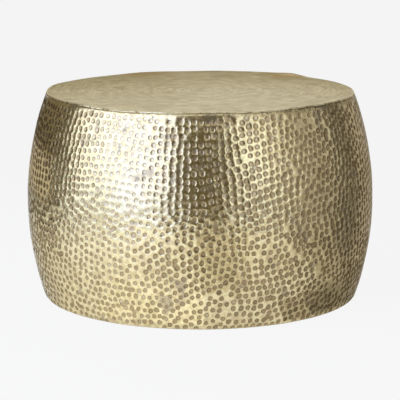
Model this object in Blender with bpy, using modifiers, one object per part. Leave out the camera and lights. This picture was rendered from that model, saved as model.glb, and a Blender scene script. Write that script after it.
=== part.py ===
"""Round drum coffee table of hammered sheet metal.

A barrel-shaped sheet wall turns in at its foot to a flat flange. A steel hoop lies on that flange, and
push-in glides go through both. A sheet top is welded flush on the upper edge of the wall and is backed
by a round board, which screws hold to angle brackets on the inside of the wall.

Lengths are in metres, +Z is up, and the origin is on the floor below the middle of the top.
"""

import math

import bmesh
import bpy
from mathutils import Matrix

# Overall form
TABLE_HEIGHT = 0.390         # floor to the flat middle of the top
BELLY_RADIUS = 0.330         # widest outside radius of the barrel
BELLY_HEIGHT = 0.182         # height of that widest ring above the floor
RIM_DRAW_IN = 0.039          # how much smaller the radius is at the height of the top
FOOT_DRAW_IN = 0.0305        # how much smaller it is where the barrel would meet the floor

# Wall
WALL_THICKNESS = 0.002
FOOT_BEND_RADIUS = 0.004     # inside radius of the bend at the foot
FOOT_FLANGE_WIDTH = 0.026    # flat flange, measured inwards from the end of the bend

# Top sheet
TOP_THICKNESS = 0.003
TOP_EDGE_RADIUS = 0.0022     # rounding of the upper edge
RIM_WAVE_REACH = 0.026       # how far in from the edge the hand-dressed wave runs

# Board under the top
BOARD_THICKNESS = 0.012
BOARD_EDGE_BEVEL = 0.0015
BOARD_EDGE_CLEARANCE = 0.002  # board edge to the start of the wavy rim

# Angle brackets
BRACKET_THICKNESS = 0.003
BRACKET_DROP = 0.042         # upright leg, along the wall
BRACKET_LAP = 0.026          # how far the level leg reaches under the board

# Board screws
SCREW_SHANK_RADIUS = 0.0019
SCREW_POINT_LENGTH = 0.003
SCREW_HEAD_RADIUS = 0.0042
SCREW_HEAD_HEIGHT = 0.0026
SCREW_HEAD_EDGE = 0.001      # straight part of the head's side
SCREW_HEAD_FLAT_RADIUS = 0.0026
SCREW_TIP_COVER = 0.0035     # wood left between the point and the upper face of the board

# Hoop on the foot flange
HOOP_THICKNESS = 0.003
HOOP_WIDTH = 0.025

# Push-in glides
GLIDE_INSET = 0.0186         # middle of a glide, in from the outer edge of the hoop
GLIDE_HEAD_RADIUS = 0.007
GLIDE_HEAD_THICKNESS = 0.0025
GLIDE_EDGE_BEVEL = 0.0008
GLIDE_STEM_RADIUS = 0.0026
GLIDE_TIP_RADIUS = 0.0013
GLIDE_BARB_OVERHANG = 0.0011  # how far the barb stands out beyond the hole
GLIDE_BARB_LAND = 0.001      # straight part of the barb's side
GLIDE_BARB_TAPER = 0.0032    # tapered part above it

# Clearances
SEAT_GAP = 0.0003            # between faces that rest on each other
HOLE_CLEARANCE = 0.0004      # around a shank or stem in its hole

# Hand-dressed rim: height of each wave, number of waves round the table, and its phase in degrees
RIM_WAVES = ((0.0008, 3, 210.0), (0.0006, 7, 86.0), (0.0003, 13, 20.0))
RIM_BUMP_HEIGHT = 0.0032     # one raised stretch at the back of the rim
RIM_BUMP_ANGLE = 50.0        # its place in degrees, from +X towards +Y
RIM_BUMP_SPREAD = 6.0        # and its spread

# Counts
ROUND_SEGMENTS = 96
WAVE_STEPS = 2
UPPER_STEPS = 5
LOWER_STEPS = 6
BEND_STEPS = 3
RIM_STEPS = 3
EDGE_STEPS = 3
SMALL_SEGMENTS = 12
BRACKET_FACETS = 2           # facets of the wall that one bracket covers
BRACKET_COUNT = 6
BRACKET_START = 30.0         # degrees
GLIDE_COUNT = 6
GLIDE_START = 0.0            # degrees

# Merge distance of turned shapes, well under any gap
WELD_DISTANCE = 0.00001

# Parts whose faces meet at less than this many degrees are shaded as one smooth surface
SMOOTH_ANGLE = 40.0

COLLECTION_NAME = "hammered_drum_table"
CUTTER_COLLECTION_NAME = "cutters"


def foot_level():
    """Height of the underside of the foot flange."""
    return GLIDE_HEAD_THICKNESS + SEAT_GAP


def top_underside():
    """Height of the underside of the top sheet, away from the rim."""
    return TABLE_HEIGHT - TOP_THICKNESS


def wall_top():
    """Height of the upper edge of the wall, without the rim's wave."""
    return top_underside() - SEAT_GAP


def board_underside():
    return top_underside() - SEAT_GAP - BOARD_THICKNESS


def bracket_top():
    return board_underside() - SEAT_GAP


def upper_arc():
    """Radius of the arc from the belly up to the top, outside face."""
    rise = TABLE_HEIGHT - BELLY_HEIGHT
    return (RIM_DRAW_IN**2 + rise**2) / (2 * RIM_DRAW_IN)


def lower_arc():
    """Radius of the arc from the belly down to the floor, outside face."""
    return (FOOT_DRAW_IN**2 + BELLY_HEIGHT**2) / (2 * FOOT_DRAW_IN)


def arc_at(height):
    return upper_arc() if height >= BELLY_HEIGHT else lower_arc()


def barrel_radius(height, inset):
    """Radius of the barrel at a height, on the arc that lies an inset inside the outer face."""
    arc = arc_at(height)
    return BELLY_RADIUS - arc + math.sqrt((arc - inset) ** 2 - (height - BELLY_HEIGHT) ** 2)


def foot_bend_outside():
    return FOOT_BEND_RADIUS + WALL_THICKNESS


def foot_bend_centre():
    """Middle of the foot's bend, which is tangent to the lower arc and to the flange."""
    height = foot_level() + foot_bend_outside()
    reach = lower_arc() - foot_bend_outside()
    level = height - BELLY_HEIGHT
    return BELLY_RADIUS - lower_arc() + math.sqrt(reach**2 - level**2), height


def foot_bend_angle():
    """Angle, below the level, at which the lower arc runs into the bend."""
    radius, height = foot_bend_centre()
    return math.atan2(height - BELLY_HEIGHT, radius - BELLY_RADIUS + lower_arc())


def flange_inner_radius():
    return foot_bend_centre()[0] - FOOT_FLANGE_WIDTH


def rim_radius():
    """Outside radius of the top sheet, flush with the wall below it."""
    return barrel_radius(top_underside(), 0.0)


def board_radius():
    return rim_radius() - RIM_WAVE_REACH - BOARD_EDGE_CLEARANCE


def screw_circle_radius():
    """The screws go up in the middle of the lap of bracket and board."""
    return board_radius() - BRACKET_LAP / 2


def hoop_outer_radius():
    """The hoop lies on the flat of the flange, clear of the bend."""
    return foot_bend_centre()[0] - SEAT_GAP


def hoop_underside():
    return foot_level() + WALL_THICKNESS + SEAT_GAP


def glide_circle_radius():
    """The glides stand well in from the bend, so that the foot hides them."""
    return hoop_outer_radius() - GLIDE_INSET


def stem_hole_radius():
    return GLIDE_STEM_RADIUS + HOLE_CLEARANCE


def screw_hole_radius():
    return SCREW_SHANK_RADIUS + HOLE_CLEARANCE


def screw_tip():
    return board_underside() + BOARD_THICKNESS - SCREW_TIP_COVER


def rim_wave(angle):
    """Height of the hand-dressed rim above the level of the top, at an angle round the table."""
    height = sum(
        size * math.cos(count * angle - math.radians(phase)) for size, count, phase in RIM_WAVES
    )
    turn = (math.degrees(angle) - RIM_BUMP_ANGLE + 180.0) % 360.0 - 180.0
    return height + RIM_BUMP_HEIGHT * math.exp(-((turn / RIM_BUMP_SPREAD) ** 2))


def ease(share):
    """Smooth step from 0 to 1."""
    share = min(max(share, 0.0), 1.0)
    return share * share * (3.0 - 2.0 * share)


def arc_points(arc, inset, start, end, steps):
    """Points on one arc of the barrel, between two heights on the face at that inset."""
    reach = arc - inset
    first = math.asin((start - BELLY_HEIGHT) / reach)
    last = math.asin((end - BELLY_HEIGHT) / reach)
    points = []
    for step in range(steps + 1):
        angle = first + (last - first) * step / steps
        radius = BELLY_RADIUS - arc + reach * math.cos(angle)
        points.append((radius, BELLY_HEIGHT + reach * math.sin(angle)))
    return points


def wall_face(inset):
    """Points of one face of the wall in the section plane, from the rim down to the start of the bend.

    An inset of 0 gives the outer face, and the wall's thickness gives the inner face. The rim's wave
    stays above the underside of the board, where a ring of points bounds it.
    """
    bend_start = BELLY_HEIGHT + (lower_arc() - inset) * math.sin(foot_bend_angle())
    points = arc_points(upper_arc(), inset, wall_top(), board_underside(), WAVE_STEPS)
    points += arc_points(upper_arc(), inset, board_underside(), BELLY_HEIGHT, UPPER_STEPS)[1:]
    points += arc_points(lower_arc(), inset, BELLY_HEIGHT, bend_start, LOWER_STEPS)[1:]
    return points


def foot_face(inset):
    """Points of one face of the foot, from the bend to the inner edge of the flange."""
    radius, height = foot_bend_centre()
    start = foot_bend_angle()
    reach = foot_bend_outside() - inset
    points = []
    for step in range(1, BEND_STEPS + 1):
        angle = start + (-math.pi / 2 - start) * step / BEND_STEPS
        points.append((radius + reach * math.cos(angle), height + reach * math.sin(angle)))
    points.append((flange_inner_radius(), foot_level() + inset))
    return points


def wall_section():
    """Closed section of the wall: down the outer face, round the flange and up the inner face."""
    outer = wall_face(0.0) + foot_face(0.0)
    inner = wall_face(WALL_THICKNESS) + foot_face(WALL_THICKNESS)
    return outer + inner[::-1]


def inner_wall_radius(height):
    """Radius of the flat-sided inner face of the wall at a height."""
    face = wall_face(WALL_THICKNESS)
    for (upper_radius, upper), (lower_radius, lower) in zip(face, face[1:]):
        if lower <= height <= upper:
            share = (height - lower) / (upper - lower)
            return lower_radius + (upper_radius - lower_radius) * share
    return barrel_radius(height, WALL_THICKNESS)


def top_section():
    """Half section of the top sheet, from the axis over the upper face and the edge to the axis below."""
    edge = rim_radius()
    rounding = min(TOP_EDGE_RADIUS, TOP_THICKNESS - SEAT_GAP)
    flat = edge - RIM_WAVE_REACH
    crown = edge - rounding
    radii = [flat + (crown - flat) * step / RIM_STEPS for step in range(RIM_STEPS + 1)]
    points = [(0.0, TABLE_HEIGHT)]
    points += [(radius, TABLE_HEIGHT) for radius in radii]
    for step in range(1, EDGE_STEPS + 1):
        angle = math.pi / 2 * (1 - step / EDGE_STEPS)
        height = TABLE_HEIGHT - rounding + rounding * math.sin(angle)
        points.append((crown + rounding * math.cos(angle), height))
    points.append((edge, top_underside()))
    points += [(radius, top_underside()) for radius in radii[::-1]]
    points.append((0.0, top_underside()))
    return points


def glide_section():
    """Half section of a push-in glide, from the tip of the barb down to the sole."""
    barb_base = hoop_underside() + HOOP_THICKNESS + SEAT_GAP
    barb_radius = stem_hole_radius() + GLIDE_BARB_OVERHANG
    barb_top = barb_base + GLIDE_BARB_LAND
    return [
        (0.0, barb_top + GLIDE_BARB_TAPER),
        (GLIDE_TIP_RADIUS, barb_top + GLIDE_BARB_TAPER),
        (barb_radius, barb_top),
        (barb_radius, barb_base),
        (GLIDE_STEM_RADIUS, barb_base),
        (GLIDE_STEM_RADIUS, GLIDE_HEAD_THICKNESS),
        (GLIDE_HEAD_RADIUS, GLIDE_HEAD_THICKNESS),
        (GLIDE_HEAD_RADIUS, GLIDE_EDGE_BEVEL),
        (GLIDE_HEAD_RADIUS - GLIDE_EDGE_BEVEL, 0.0),
        (0.0, 0.0),
    ]


def screw_section():
    """Half section of a pan-head wood screw with its point up, from the point down to the head."""
    head_top = bracket_top() - BRACKET_THICKNESS - SEAT_GAP
    return [
        (0.0, screw_tip()),
        (SCREW_SHANK_RADIUS, screw_tip() - SCREW_POINT_LENGTH),
        (SCREW_SHANK_RADIUS, head_top),
        (SCREW_HEAD_RADIUS, head_top),
        (SCREW_HEAD_RADIUS, head_top - SCREW_HEAD_EDGE),
        (SCREW_HEAD_FLAT_RADIUS, head_top - SCREW_HEAD_HEIGHT),
        (0.0, head_top - SCREW_HEAD_HEIGHT),
    ]


def bracket_section():
    """Closed section of an angle bracket: an upright leg along the wall and a level leg under the board."""
    leg_top = bracket_top()
    leg_end = leg_top - BRACKET_DROP
    level = leg_top - BRACKET_THICKNESS
    upper = inner_wall_radius(leg_top) - SEAT_GAP
    lower = inner_wall_radius(leg_end) - SEAT_GAP
    heel = inner_wall_radius(level) - SEAT_GAP - BRACKET_THICKNESS
    reach = board_radius() - BRACKET_LAP
    return [
        (upper, leg_top),
        (lower, leg_end),
        (lower - BRACKET_THICKNESS, leg_end),
        (heel, level),
        (reach, level),
        (reach, leg_top),
    ]


def clear_scene():
    for obj in list(bpy.data.objects):
        bpy.data.objects.remove(obj, do_unlink=True)


def new_collection(name):
    collection = bpy.data.collections.new(name)
    bpy.context.scene.collection.children.link(collection)
    return collection


def new_material(name, colour, roughness, metallic):
    material = bpy.data.materials.new(name)
    material.use_nodes = True
    shader = material.node_tree.nodes["Principled BSDF"]
    shader.inputs["Base Color"].default_value = (*colour, 1.0)
    shader.inputs["Roughness"].default_value = roughness
    shader.inputs["Metallic"].default_value = metallic
    return material


def section_mesh(name, points, closed):
    """Mesh of a section in the XZ plane: a line of edges, joined up where the section is closed."""
    mesh = bpy.data.meshes.new(name)
    drawing = bmesh.new()
    corners = [drawing.verts.new((radius, 0.0, height)) for radius, height in points]
    for first, second in zip(corners, corners[1:]):
        drawing.edges.new((first, second))
    if closed:
        drawing.edges.new((corners[-1], corners[0]))
    drawing.to_mesh(mesh)
    drawing.free()
    return mesh


def turned(name, points, closed, segments, collection):
    """Object turned from a section round the Z axis by a Screw modifier."""
    obj = bpy.data.objects.new(name, section_mesh(name, points, closed))
    collection.objects.link(obj)
    screw = obj.modifiers.new("turn", "SCREW")
    screw.axis = "Z"
    screw.steps = segments
    screw.render_steps = segments
    screw.use_merge_vertices = True
    screw.merge_threshold = WELD_DISTANCE
    return obj


def applied(obj):
    """Replace an object's mesh by its evaluated mesh, and drop its modifiers."""
    bpy.context.view_layer.update()
    graph = bpy.context.evaluated_depsgraph_get()
    mesh = bpy.data.meshes.new_from_object(obj.evaluated_get(graph))
    mesh.name = obj.name
    obj.modifiers.clear()
    obj.data = mesh
    return obj


def finish(obj, material, parent):
    """Give an object its material, smooth shading and its parent."""
    obj.data.materials.clear()
    obj.data.materials.append(material)
    obj.data.shade_smooth()
    obj.data.set_sharp_from_angle(angle=math.radians(SMOOTH_ANGLE))
    obj.parent = parent
    return obj


def wave_rim(obj, weight):
    """Lift an object's vertices with the rim's wave, by a weight that depends on radius and height."""
    for vertex in obj.data.vertices:
        place = vertex.co
        share = weight(math.hypot(place.x, place.y), place.z)
        place.z += rim_wave(math.atan2(place.y, place.x)) * share


def pin_cutter(name, radius, span, circle, count, start, collection):
    """Ring of upright round cutters between two heights, one for each hole of a circle of holes."""
    bottom, top = span
    shape = bmesh.new()
    for index in range(count):
        angle = math.radians(start + 360.0 * index / count)
        middle = (circle * math.cos(angle), circle * math.sin(angle), (bottom + top) / 2)
        bmesh.ops.create_cone(
            shape,
            cap_ends=True,
            segments=SMALL_SEGMENTS,
            radius1=radius,
            radius2=radius,
            depth=top - bottom,
            matrix=Matrix.Translation(middle),
        )
    mesh = bpy.data.meshes.new(name)
    shape.to_mesh(mesh)
    shape.free()
    obj = bpy.data.objects.new(name, mesh)
    obj.hide_render = True
    obj.display_type = "WIRE"
    collection.objects.link(obj)
    return obj


def drill(obj, cutter):
    cut = obj.modifiers.new("holes", "BOOLEAN")
    cut.operation = "DIFFERENCE"
    cut.solver = "EXACT"
    cut.object = cutter


def build_wall(collection, material, parent, stem_cutter):
    """Barrel sheet with its turned-in foot, its wavy upper edge and the holes for the glides."""
    wall = applied(turned("drum_wall", wall_section(), True, ROUND_SEGMENTS, collection))
    start = board_underside()
    depth = wall_top() - start
    wave_rim(wall, lambda radius, height: ease((height - start) / depth))
    drill(wall, stem_cutter)
    return finish(wall, material, parent)


def build_top(collection, material, parent):
    """Round sheet, flat over the board and wavy outside it."""
    top = applied(turned("top_sheet", top_section(), False, ROUND_SEGMENTS, collection))
    start = rim_radius() - RIM_WAVE_REACH
    reach = barrel_radius(wall_top(), WALL_THICKNESS) - start
    wave_rim(top, lambda radius, height: ease((radius - start) / reach))
    return finish(top, material, parent)


def build_board(collection, material, parent, pilot_cutter):
    """Round board with eased edges and a blind hole for each screw."""
    shape = bmesh.new()
    bmesh.ops.create_cone(
        shape,
        cap_ends=True,
        segments=ROUND_SEGMENTS,
        radius1=board_radius(),
        radius2=board_radius(),
        depth=BOARD_THICKNESS,
    )
    mesh = bpy.data.meshes.new("top_board")
    shape.to_mesh(mesh)
    shape.free()
    board = bpy.data.objects.new("top_board", mesh)
    board.location.z = board_underside() + BOARD_THICKNESS / 2
    collection.objects.link(board)
    bevel = board.modifiers.new("eased edges", "BEVEL")
    bevel.width = BOARD_EDGE_BEVEL
    bevel.segments = 1
    bevel.limit_method = "ANGLE"
    drill(board, pilot_cutter)
    return finish(board, material, parent)


def build_hoop(collection, material, parent, stem_cutter):
    """Flat hoop that lies on the foot flange."""
    outer = hoop_outer_radius()
    inner = outer - HOOP_WIDTH
    bottom = hoop_underside()
    top = bottom + HOOP_THICKNESS
    section = [(outer, top), (outer, bottom), (inner, bottom), (inner, top)]
    hoop = turned("base_hoop", section, True, ROUND_SEGMENTS, collection)
    drill(hoop, stem_cutter)
    return finish(applied(hoop), material, parent)


def bracket_mesh(hole_cutter, collection):
    """Mesh of one bracket at angle 0: its section swept along the wall, with the screw's hole drilled."""
    half = math.pi / ROUND_SEGMENTS * BRACKET_FACETS
    shape = bmesh.new()
    corners = [shape.verts.new((radius, 0.0, height)) for radius, height in bracket_section()]
    section = shape.faces.new(corners)
    bmesh.ops.rotate(shape, verts=corners, cent=(0, 0, 0), matrix=Matrix.Rotation(-half, 3, "Z"))
    bmesh.ops.spin(
        shape,
        geom=[section, *section.edges, *section.verts],
        cent=(0, 0, 0),
        axis=(0, 0, 1),
        angle=2 * half,
        steps=BRACKET_FACETS,
    )
    bmesh.ops.recalc_face_normals(shape, faces=shape.faces)
    mesh = bpy.data.meshes.new("board_bracket")
    shape.to_mesh(mesh)
    shape.free()
    blank = bpy.data.objects.new("board_bracket", mesh)
    collection.objects.link(blank)
    drill(blank, hole_cutter)
    mesh = applied(blank).data
    bpy.data.objects.remove(blank)
    return mesh


def pin_mesh(name, section, circle, collection):
    """Mesh of a small turned piece that stands on a circle round the table's axis."""
    pin = applied(turned(name, section, False, SMALL_SEGMENTS, collection))
    mesh = pin.data
    mesh.transform(Matrix.Translation((circle, 0.0, 0.0)))
    bpy.data.objects.remove(pin)
    return mesh


def ring_of_copies(name, mesh, count, start, collection, material, parent):
    """Copies of one mesh, turned round the table's axis."""
    for index in range(count):
        obj = bpy.data.objects.new(f"{name}_{index + 1}", mesh)
        obj.rotation_euler.z = math.radians(start + 360.0 * index / count)
        collection.objects.link(obj)
        finish(obj, material, parent)


def main():
    clear_scene()
    parts = new_collection(COLLECTION_NAME)
    cutters = new_collection(CUTTER_COLLECTION_NAME)
    table = bpy.data.objects.new("table", None)
    parts.objects.link(table)

    hammered = new_material("hammered_brass_finish", (0.56, 0.45, 0.24), 0.28, 1.0)
    satin = new_material("satin_brass_finish", (0.60, 0.51, 0.30), 0.42, 1.0)
    wood = new_material("board", (0.42, 0.30, 0.18), 0.75, 0.0)
    steel = new_material("zinc_steel", (0.55, 0.56, 0.57), 0.38, 1.0)
    nylon = new_material("nylon", (0.05, 0.045, 0.04), 0.55, 0.0)

    stem_span = (0.0, hoop_underside() + 2 * HOOP_THICKNESS)
    stem_cutter = pin_cutter(
        "glide_hole_cutter", stem_hole_radius(), stem_span, glide_circle_radius(), GLIDE_COUNT,
        GLIDE_START, cutters,
    )
    screw_span = (bracket_top() - 2 * BRACKET_THICKNESS, screw_tip() + HOLE_CLEARANCE)
    pilot_cutter = pin_cutter(
        "board_hole_cutter", screw_hole_radius(), screw_span, screw_circle_radius(), BRACKET_COUNT,
        BRACKET_START, cutters,
    )
    bracket_cutter = pin_cutter(
        "bracket_hole_cutter", screw_hole_radius(), screw_span, screw_circle_radius(), 1, 0.0, cutters,
    )

    build_wall(parts, hammered, table, stem_cutter)
    build_top(parts, satin, table)
    build_board(parts, wood, table, pilot_cutter)
    build_hoop(parts, steel, table, stem_cutter)
    brackets = bracket_mesh(bracket_cutter, parts)
    ring_of_copies("board_bracket", brackets, BRACKET_COUNT, BRACKET_START, parts, steel, table)
    screws = pin_mesh("board_screw", screw_section(), screw_circle_radius(), parts)
    ring_of_copies("board_screw", screws, BRACKET_COUNT, BRACKET_START, parts, steel, table)
    glides = pin_mesh("glide", glide_section(), glide_circle_radius(), parts)
    ring_of_copies("glide", glides, GLIDE_COUNT, GLIDE_START, parts, nylon, table)


main()
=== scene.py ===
"""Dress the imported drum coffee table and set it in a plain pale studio.

The wall is one hammered sheet: each hammer mark is real geometry, set out on the unrolled wall and
triangulated there. The top is a satin sheet with a hand-dressed edge. The fittings inside the drum keep
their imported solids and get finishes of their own.
"""

import logging
import math
from collections.abc import Mapping, Sequence
from dataclasses import dataclass
from enum import Enum
from typing import Union

import bpy
import numpy as np
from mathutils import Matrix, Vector
from mathutils.geometry import delaunay_2d_cdt
from mathutils.kdtree import KDTree


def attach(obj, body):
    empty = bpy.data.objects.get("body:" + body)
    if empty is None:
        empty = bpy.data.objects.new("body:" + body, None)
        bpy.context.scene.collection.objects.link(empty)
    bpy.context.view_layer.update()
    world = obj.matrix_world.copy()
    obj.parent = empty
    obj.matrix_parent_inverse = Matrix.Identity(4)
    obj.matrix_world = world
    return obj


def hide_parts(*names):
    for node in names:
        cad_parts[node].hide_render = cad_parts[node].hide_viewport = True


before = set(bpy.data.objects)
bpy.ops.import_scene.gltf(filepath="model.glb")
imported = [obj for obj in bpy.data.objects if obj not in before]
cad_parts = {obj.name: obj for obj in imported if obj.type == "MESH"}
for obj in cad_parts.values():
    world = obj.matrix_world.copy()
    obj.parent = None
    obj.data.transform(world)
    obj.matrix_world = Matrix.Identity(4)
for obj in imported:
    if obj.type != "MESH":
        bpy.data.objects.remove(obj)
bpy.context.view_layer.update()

BODY = "root"
TURN = 2 * math.pi
FRONT = 1.5 * math.pi
NO_GAP = 1e-6
PALE = 0.922
LOG = logging.getLogger("drum_table")

Colour = tuple[float, float, float]
Spot = tuple[float, float]
Term = Union["Wire", float]
SocketValue = Union["Wire", float, Sequence[float]]


def ease(share: np.ndarray) -> np.ndarray:
    """Smooth step from 0 to 1."""
    share = np.clip(share, 0.0, 1.0)
    return share * share * (3.0 - 2.0 * share)


def bell(away: np.ndarray, spread: np.ndarray | float) -> np.ndarray:
    """1 in the middle, and less and less on both sides of it."""
    return np.exp(-((away / spread) ** 2))


def half_turn(turn: np.ndarray) -> np.ndarray:
    """Angles in radians, brought within half a turn of 0."""
    return (turn + math.pi) % TURN - math.pi


def degrees_from(side: float, angle: np.ndarray) -> np.ndarray:
    """Degrees from one side of the table to angles in radians, within half a turn."""
    return (np.degrees(angle) - side + 180.0) % 360.0 - 180.0


def even_angles(count: int) -> np.ndarray:
    """Angles of points spaced evenly round the table, in radians."""
    return TURN * np.arange(count) / count


def opaque(colour: Colour) -> tuple[float, float, float, float]:
    """Colour with full alpha, as a colour socket takes it."""
    return (*colour, 1.0)


@dataclass(frozen=True)
class Wire:
    """One output socket of a node; arithmetic on it adds Math nodes."""

    bench: "NodeBench"
    socket: bpy.types.NodeSocket | None

    def math(self, operation: str, *terms: Term) -> "Wire":
        """Result of a Math node on the terms, in their order."""
        return self.bench.add("ShaderNodeMath", {"operation": operation}, dict(enumerate(terms)))

    def __add__(self, other: Term) -> "Wire":
        """Sum."""
        return self.math("ADD", self, other)

    def __radd__(self, other: Term) -> "Wire":
        """Sum, with a number first."""
        return self.math("ADD", other, self)

    def __sub__(self, other: Term) -> "Wire":
        """Difference."""
        return self.math("SUBTRACT", self, other)

    def __rsub__(self, other: Term) -> "Wire":
        """Difference, with a number first."""
        return self.math("SUBTRACT", other, self)

    def __mul__(self, other: Term) -> "Wire":
        """Product."""
        return self.math("MULTIPLY", self, other)

    def __rmul__(self, other: Term) -> "Wire":
        """Product, with a number first."""
        return self.math("MULTIPLY", other, self)

    def __or__(self, other: Term) -> "Wire":
        """Larger of two values."""
        return self.math("MAXIMUM", self, other)


class NodeBench:
    """A node tree, and the one method that adds nodes to it."""

    def __init__(self, tree: bpy.types.NodeTree) -> None:
        """Start from an empty tree.

        Args:
            tree: The node tree of a material or a world.
        """
        tree.nodes.clear()
        self.tree = tree

    def add(
        self,
        kind: str,
        settings: Mapping[str, object] | None = None,
        inputs: Mapping[str | int, SocketValue] | None = None,
        output: str | int = 0,
    ) -> Wire:
        """Add one node.

        Args:
            kind: The node's type.
            settings: Properties of the node, set first.
            inputs: Values or links of its sockets, by name or number.
            output: The output socket to give back.

        Returns:
            That output, or an empty wire for a node without outputs.
        """
        node = self.tree.nodes.new(kind)
        for name, value in (settings or {}).items():
            setattr(node, name, value)
        for name, value in (inputs or {}).items():
            if isinstance(value, Wire):
                self.tree.links.new(value.socket, node.inputs[name])
            else:
                node.inputs[name].default_value = value
        return Wire(self, node.outputs[output] if node.outputs else None)

    def principled(self, values: Mapping[str | int, SocketValue]) -> Wire:
        """The usual surface shader."""
        return self.add("ShaderNodeBsdfPrincipled", None, values)

    def place(self) -> Wire:
        """Position on the piece, in metres."""
        return self.add("ShaderNodeTexCoord", output="Object")

    def along(self, axis: str) -> Wire:
        """One coordinate of the position on the piece."""
        return self.add("ShaderNodeSeparateXYZ", None, {0: self.place()}, axis)

    def attribute(self, name: str) -> Wire:
        """A value that the mesh holds at each point."""
        return self.add("ShaderNodeAttribute", {"attribute_name": name}, output="Fac")

    def vector(self, operation: str, *terms: SocketValue, output: str | int = 0) -> Wire:
        """Result of a Vector Math node on the terms, in their order."""
        return self.add("ShaderNodeVectorMath", {"operation": operation}, dict(enumerate(terms)), output)

    def reach(self) -> Wire:
        """Distance from the middle of the table."""
        return self.vector("LENGTH", self.vector("MULTIPLY", self.place(), (1.0, 1.0, 0.0)), output="Value")

    def noise(self, vector: Wire, scale: float, detail: float = 3.0, roughness: float = 0.5) -> Wire:
        """Smooth noise between 0 and 1.

        Args:
            vector: Coordinates in metres.
            scale: Patches to the metre.
            detail: Octaves.
            roughness: Weight of the finer octaves.

        Returns:
            The noise value.
        """
        values = {"Vector": vector, "Scale": scale, "Detail": detail, "Roughness": roughness}
        return self.add("ShaderNodeTexNoise", None, values, "Fac")

    def span(self, value: Wire, low: float, high: float, start: float = 0.0, end: float = 1.0) -> Wire:
        """Soft ramp of a value.

        Args:
            value: What is read.
            low: Where the ramp starts.
            high: Where it ends.
            start: Result below the ramp.
            end: Result above it.

        Returns:
            The ramped value.
        """
        values = {0: value, 1: low, 2: high, 3: start, 4: end}
        return self.add("ShaderNodeMapRange", {"interpolation_type": "SMOOTHSTEP"}, values)

    def mix(self, share: Term, first: Wire | Colour, second: Wire | Colour) -> Wire:
        """Blend two colours.

        Args:
            share: How much of the second one.
            first: Wire or colour.
            second: Wire or colour.

        Returns:
            The blended colour.
        """
        pair = [tint if isinstance(tint, Wire) else opaque(tint) for tint in (first, second)]
        return self.add("ShaderNodeMix", {"data_type": "RGBA"}, {0: share, 6: pair[0], 7: pair[1]}, 2)

    def bump(self, height: Wire, distance: float, strength: float) -> Wire:
        """Fine relief that only the light sees.

        Args:
            height: Relief from 0 to 1.
            distance: Depth of the relief in metres.
            strength: How much of it shows.

        Returns:
            The bent normal.
        """
        values = {"Height": height, "Distance": distance, "Strength": strength}
        return self.add("ShaderNodeBump", None, values)

    def seen(self) -> tuple[Wire, Wire]:
        """Tell apart the rays that show a surface from those that only carry its light.

        Returns:
            1 for rays from the camera, and 1 for rays off a shiny surface or through a clear one.
        """
        camera = self.add("ShaderNodeLightPath", output="Is Camera Ray")
        outputs = camera.socket.node.outputs
        return camera, Wire(self, outputs["Is Glossy Ray"]) | Wire(self, outputs["Is Transmission Ray"])


@dataclass(frozen=True)
class Blotches:
    """Soft-edged patches where noise is high."""

    scale: float
    detail: float
    roughness: float
    start: float
    full: float

    def on(self, bench: NodeBench) -> Wire:
        """How much of a patch shows at each place on the piece, from 0 to 1."""
        noise = bench.noise(bench.place(), self.scale, self.detail, self.roughness)
        return bench.span(noise, self.start, self.full)


@dataclass(frozen=True)
class Finish:
    """A named material whose surface each kind of finish draws in its own way."""

    name: str

    def surface(self, bench: NodeBench) -> Wire:
        """Shader of the finish.

        Args:
            bench: The material's node tree.

        Returns:
            The shader's output.
        """
        raise NotImplementedError

    def material(self) -> bpy.types.Material:
        """Make the material.

        Returns:
            The new material.
        """
        material = bpy.data.materials.new(self.name)
        material.use_nodes = True
        bench = NodeBench(material.node_tree)
        bench.add("ShaderNodeOutputMaterial", None, {"Surface": self.surface(bench)})
        return material


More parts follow.
